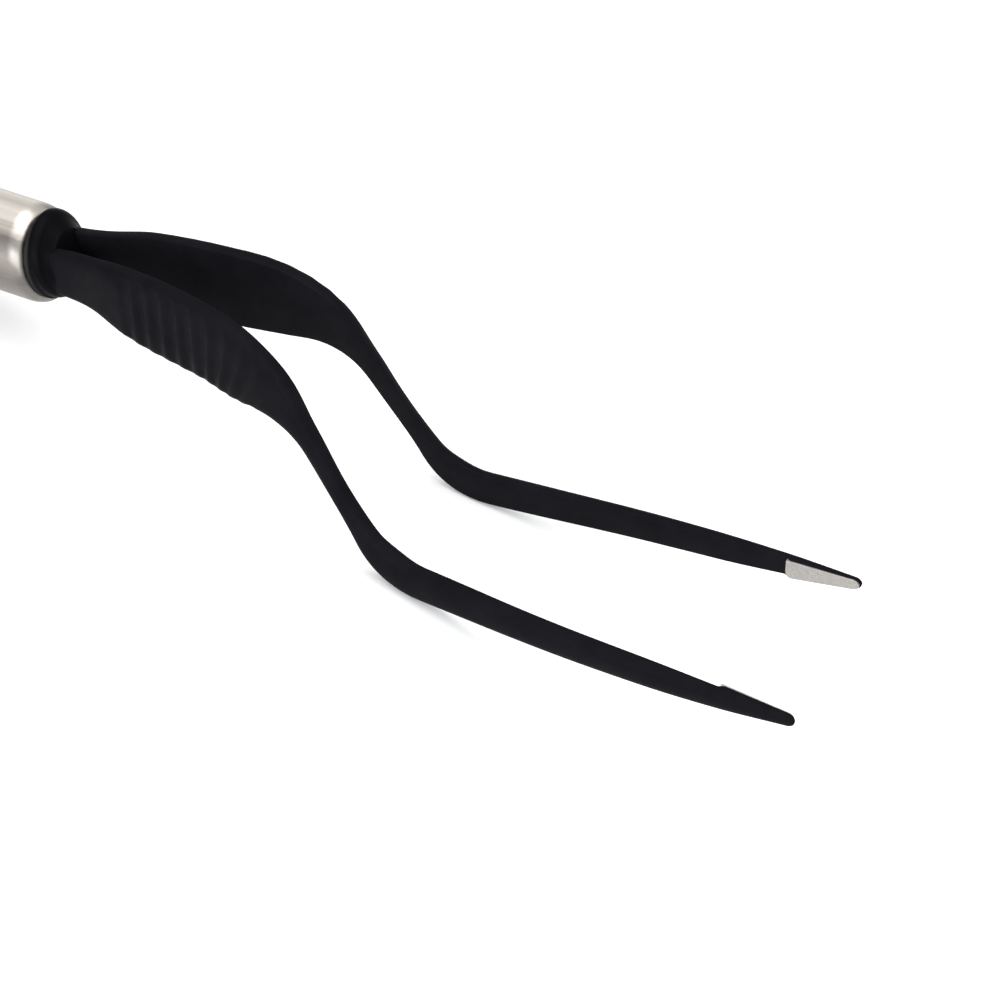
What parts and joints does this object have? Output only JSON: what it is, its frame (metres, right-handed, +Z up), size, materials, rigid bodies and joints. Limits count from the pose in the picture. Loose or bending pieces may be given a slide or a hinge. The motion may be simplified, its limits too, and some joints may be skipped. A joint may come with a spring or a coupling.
{
  "type": "bayonet tweezers",
  "caption": "Insulated bayonet tweezers: round steel barrel, black collar, sprung black-coated arms with ribbed grips and bare metal tips.",
  "frame": {"origin": "middle of the base of the bounding box, with the tweezers lying on a table on their two heels and the rear edge of the barrel", "axes": "+X towards the tips, +Y towards the left arm (the far one in the picture), +Z up"},
  "size_m": [0.1626, 0.0254, 0.0251],
  "materials": {
    "black_coat": "satin moulded nylon coat",
    "black_collar": "satin moulded plastic",
    "spring_steel": "ground spring steel",
    "satin_steel": "satin turned steel, polished lengthways",
    "bare_tip": "fine ground",
    "black_rubber": "matt",
    "insulator": "moulded insulating plastic",
    "insulating_sleeve": "shrunk sleeve",
    "tinned_ferrule": "tinned",
    "contact_pin": "plated"
  },
  "bodies": {
    "handle": {"barrel": "satin_steel", "front_collar": "black_collar", "rear_insulator": "insulator", "front_gasket": "black_rubber", "rear_gasket": "black_rubber", "core_upper": "insulator", "core_lower": "insulator", "front_dowel": "insulator", "rear_dowel": "insulator", "lock_screw": "spring_steel", "left_tang": "spring_steel", "left_ferrule": "tinned_ferrule", "left_sleeve": "insulating_sleeve", "left_contact_pin": "contact_pin", "right_tang": "spring_steel", "right_ferrule": "tinned_ferrule", "right_sleeve": "insulating_sleeve", "right_contact_pin": "contact_pin"},
    "left_arm": {"left_coating": "black_coat", "left_blade": "spring_steel", "left_contact_tip": "bare_tip"},
    "right_arm": {"right_coating": "black_coat", "right_blade": "spring_steel", "right_contact_tip": "bare_tip"}
  },
  "joints": [
    {"name": "left_flex", "type": "hinge", "parent": "handle", "child": "left_arm", "pos_m": [-0.02218, 0.00265, 0.01524], "axis": [0.2002, 0, -0.9798], "range_deg": [0, 6.4], "stiffness_Nm_per_rad": 0.25},
    {"name": "right_flex", "type": "hinge", "parent": "handle", "child": "right_arm", "pos_m": [-0.02218, -0.00265, 0.01524], "axis": [-0.2002, 0, 0.9798], "range_deg": [0, 6.4], "stiffness_Nm_per_rad": 0.25}
  ]
}
